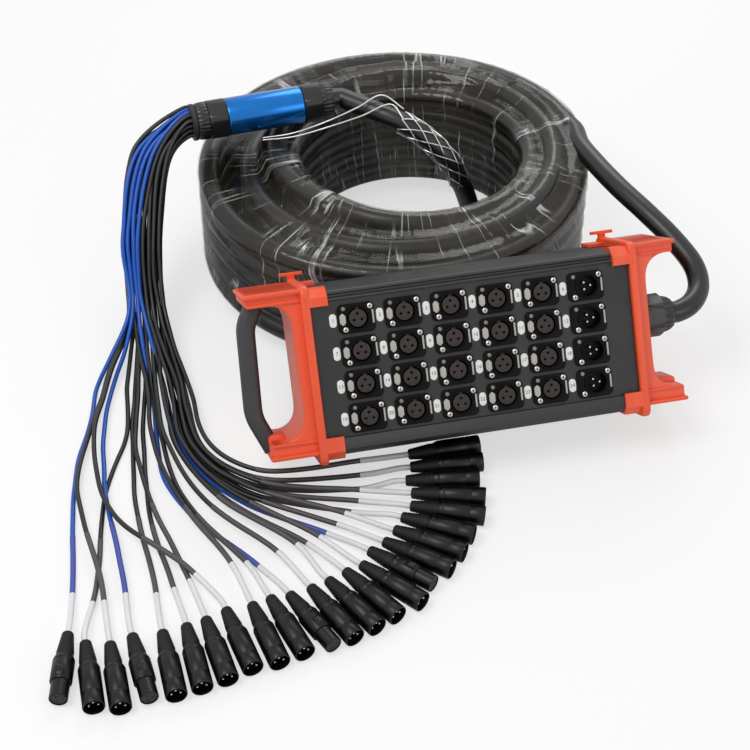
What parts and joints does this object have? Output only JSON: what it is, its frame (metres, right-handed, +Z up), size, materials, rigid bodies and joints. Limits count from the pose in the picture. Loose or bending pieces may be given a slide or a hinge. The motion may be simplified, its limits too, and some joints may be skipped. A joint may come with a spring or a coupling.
{
  "type": "stage_box_snake",
  "caption": "Stage box with angled socket panel and moulded end bumpers, its multicore trunk coiled behind it, and a fan-out of tails ending in round cable plugs",
  "frame": {"origin": "on the floor, under the middle of the box: the middle of the bounding box of every node that is not on a cord", "axes": "+Z up, +X along the box towards its cable gland, +Y from the box back towards the coil"},
  "size_m": [0.6737, 0.745, 0.1915],
  "materials": {
    "case_charcoal": "satin anodised or painted extrusion",
    "panel_black": "black satin panel and die-cast socket flanges",
    "bumper_orange": "moulded orange-red, slightly soft sheen",
    "handle_grey": "moulded dark grey grip",
    "gland_black": "black moulded cable gland",
    "barrel_blue": "blue anodised tube",
    "grip_steel": "bright steel wire",
    "jacket_black": "black cable jacket under clear film",
    "tail_black": "black cable jackets, four of them blue",
    "plug_black": "black shells with matt black boots",
    "tab_grey": "beige-grey release tabs",
    "latch_black": "black latch buttons"
  },
  "bodies": {
    "snake": {"case_shell": "case_charcoal", "socket_panel": "panel_black", "left_bumper": "bumper_orange", "right_bumper": "bumper_orange", "carry_handle": "handle_grey", "box_gland": "gland_black", "fan_out_barrel": "barrel_blue", "cable_grip": "grip_steel", "trunk_lead": "jacket_black", "trunk_coil": "jacket_black", "trunk_end": "jacket_black", "tail_bundle": "tail_black", "plug_01": "plug_black", "plug_02": "plug_black", "plug_03": "plug_black", "plug_04": "plug_black", "plug_05": "plug_black", "plug_06": "plug_black", "plug_07": "plug_black", "plug_08": "plug_black", "plug_09": "plug_black", "plug_10": "plug_black", "plug_11": "plug_black", "plug_12": "plug_black", "plug_13": "plug_black", "plug_14": "plug_black", "plug_15": "plug_black", "plug_16": "plug_black", "plug_17": "plug_black", "plug_18": "plug_black", "plug_19": "plug_black", "plug_20": "plug_black", "plug_21": "plug_black", "plug_22": "plug_black", "plug_23": "plug_black", "plug_24": "plug_black"},
    "push_tab_01_body": {"push_tab_01": "tab_grey"},
    "push_tab_02_body": {"push_tab_02": "tab_grey"},
    "push_tab_03_body": {"push_tab_03": "tab_grey"},
    "push_tab_04_body": {"push_tab_04": "tab_grey"},
    "push_tab_05_body": {"push_tab_05": "tab_grey"},
    "push_tab_06_body": {"push_tab_06": "tab_grey"},
    "push_tab_07_body": {"push_tab_07": "tab_grey"},
    "push_tab_08_body": {"push_tab_08": "tab_grey"},
    "push_tab_09_body": {"push_tab_09": "tab_grey"},
    "push_tab_10_body": {"push_tab_10": "tab_grey"},
    "push_tab_11_body": {"push_tab_11": "tab_grey"},
    "push_tab_12_body": {"push_tab_12": "tab_grey"},
    "push_tab_13_body": {"push_tab_13": "tab_grey"},
    "push_tab_14_body": {"push_tab_14": "tab_grey"},
    "push_tab_15_body": {"push_tab_15": "tab_grey"},
    "push_tab_16_body": {"push_tab_16": "tab_grey"},
    "push_tab_17_body": {"push_tab_17": "tab_grey"},
    "push_tab_18_body": {"push_tab_18": "tab_grey"},
    "push_tab_19_body": {"push_tab_19": "tab_grey"},
    "push_tab_20_body": {"push_tab_20": "tab_grey"},
    "latch_01_body": {"latch_01": "latch_black"},
    "latch_04_body": {"latch_04": "latch_black"},
    "latch_11_body": {"latch_11": "latch_black"},
    "latch_16_body": {"latch_16": "latch_black"}
  },
  "joints": [
    {"name": "push_tab_01_press", "type": "slide", "parent": "snake", "child": "push_tab_01_body", "axis": [0, 0.8339, -0.5519], "range_m": [0, 0.0015], "stiffness_N_per_m": 300},
    {"name": "push_tab_02_press", "type": "slide", "parent": "snake", "child": "push_tab_02_body", "axis": [0, 0.8339, -0.5519], "range_m": [0, 0.0015], "stiffness_N_per_m": 300},
    {"name": "push_tab_03_press", "type": "slide", "parent": "snake", "child": "push_tab_03_body", "axis": [0, 0.8339, -0.5519], "range_m": [0, 0.0015], "stiffness_N_per_m": 300},
    {"name": "push_tab_04_press", "type": "slide", "parent": "snake", "child": "push_tab_04_body", "axis": [0, 0.8339, -0.5519], "range_m": [0, 0.0015], "stiffness_N_per_m": 300},
    {"name": "push_tab_05_press", "type": "slide", "parent": "snake", "child": "push_tab_05_body", "axis": [0, 0.8339, -0.5519], "range_m": [0, 0.0015], "stiffness_N_per_m": 300},
    {"name": "push_tab_06_press", "type": "slide", "parent": "snake", "child": "push_tab_06_body", "axis": [0, 0.8339, -0.5519], "range_m": [0, 0.0015], "stiffness_N_per_m": 300},
    {"name": "push_tab_07_press", "type": "slide", "parent": "snake", "child": "push_tab_07_body", "axis": [0, 0.8339, -0.5519], "range_m": [0, 0.0015], "stiffness_N_per_m": 300},
    {"name": "push_tab_08_press", "type": "slide", "parent": "snake", "child": "push_tab_08_body", "axis": [0, 0.8339, -0.5519], "range_m": [0, 0.0015], "stiffness_N_per_m": 300},
    {"name": "push_tab_09_press", "type": "slide", "parent": "snake", "child": "push_tab_09_body", "axis": [0, 0.8339, -0.5519], "range_m": [0, 0.0015], "stiffness_N_per_m": 300},
    {"name": "push_tab_10_press", "type": "slide", "parent": "snake", "child": "push_tab_10_body", "axis": [0, 0.8339, -0.5519], "range_m": [0, 0.0015], "stiffness_N_per_m": 300},
    {"name": "push_tab_11_press", "type": "slide", "parent": "snake", "child": "push_tab_11_body", "axis": [0, 0.8339, -0.5519], "range_m": [0, 0.0015], "stiffness_N_per_m": 300},
    {"name": "push_tab_12_press", "type": "slide", "parent": "snake", "child": "push_tab_12_body", "axis": [0, 0.8339, -0.5519], "range_m": [0, 0.0015], "stiffness_N_per_m": 300},
    {"name": "push_tab_13_press", "type": "slide", "parent": "snake", "child": "push_tab_13_body", "axis": [0, 0.8339, -0.5519], "range_m": [0, 0.0015], "stiffness_N_per_m": 300},
    {"name": "push_tab_14_press", "type": "slide", "parent": "snake", "child": "push_tab_14_body", "axis": [0, 0.8339, -0.5519], "range_m": [0, 0.0015], "stiffness_N_per_m": 300},
    {"name": "push_tab_15_press", "type": "slide", "parent": "snake", "child": "push_tab_15_body", "axis": [0, 0.8339, -0.5519], "range_m": [0, 0.0015], "stiffness_N_per_m": 300},
    {"name": "push_tab_16_press", "type": "slide", "parent": "snake", "child": "push_tab_16_body", "axis": [0, 0.8339, -0.5519], "range_m": [0, 0.0015], "stiffness_N_per_m": 300},
    {"name": "push_tab_17_press", "type": "slide", "parent": "snake", "child": "push_tab_17_body", "axis": [0, 0.8339, -0.5519], "range_m": [0, 0.0015], "stiffness_N_per_m": 300},
    {"name": "push_tab_18_press", "type": "slide", "parent": "snake", "child": "push_tab_18_body", "axis": [0, 0.8339, -0.5519], "range_m": [0, 0.0015], "stiffness_N_per_m": 300},
    {"name": "push_tab_19_press", "type": "slide", "parent": "snake", "child": "push_tab_19_body", "axis": [0, 0.8339, -0.5519], "range_m": [0, 0.0015], "stiffness_N_per_m": 300},
    {"name": "push_tab_20_press", "type": "slide", "parent": "snake", "child": "push_tab_20_body", "axis": [0, 0.8339, -0.5519], "range_m": [0, 0.0015], "stiffness_N_per_m": 300},
    {"name": "latch_01_press", "type": "slide", "parent": "snake", "child": "latch_01_body", "axis": [0, 0, -1], "range_m": [0, 0.0012], "stiffness_N_per_m": 300},
    {"name": "latch_04_press", "type": "slide", "parent": "snake", "child": "latch_04_body", "axis": [0, 0, -1], "range_m": [0, 0.0012], "stiffness_N_per_m": 300},
    {"name": "latch_11_press", "type": "slide", "parent": "snake", "child": "latch_11_body", "axis": [0, 0, -1], "range_m": [0, 0.0012], "stiffness_N_per_m": 300},
    {"name": "latch_16_press", "type": "slide", "parent": "snake", "child": "latch_16_body", "axis": [0, 0, -1], "range_m": [0, 0.0012], "stiffness_N_per_m": 300}
  ]
}
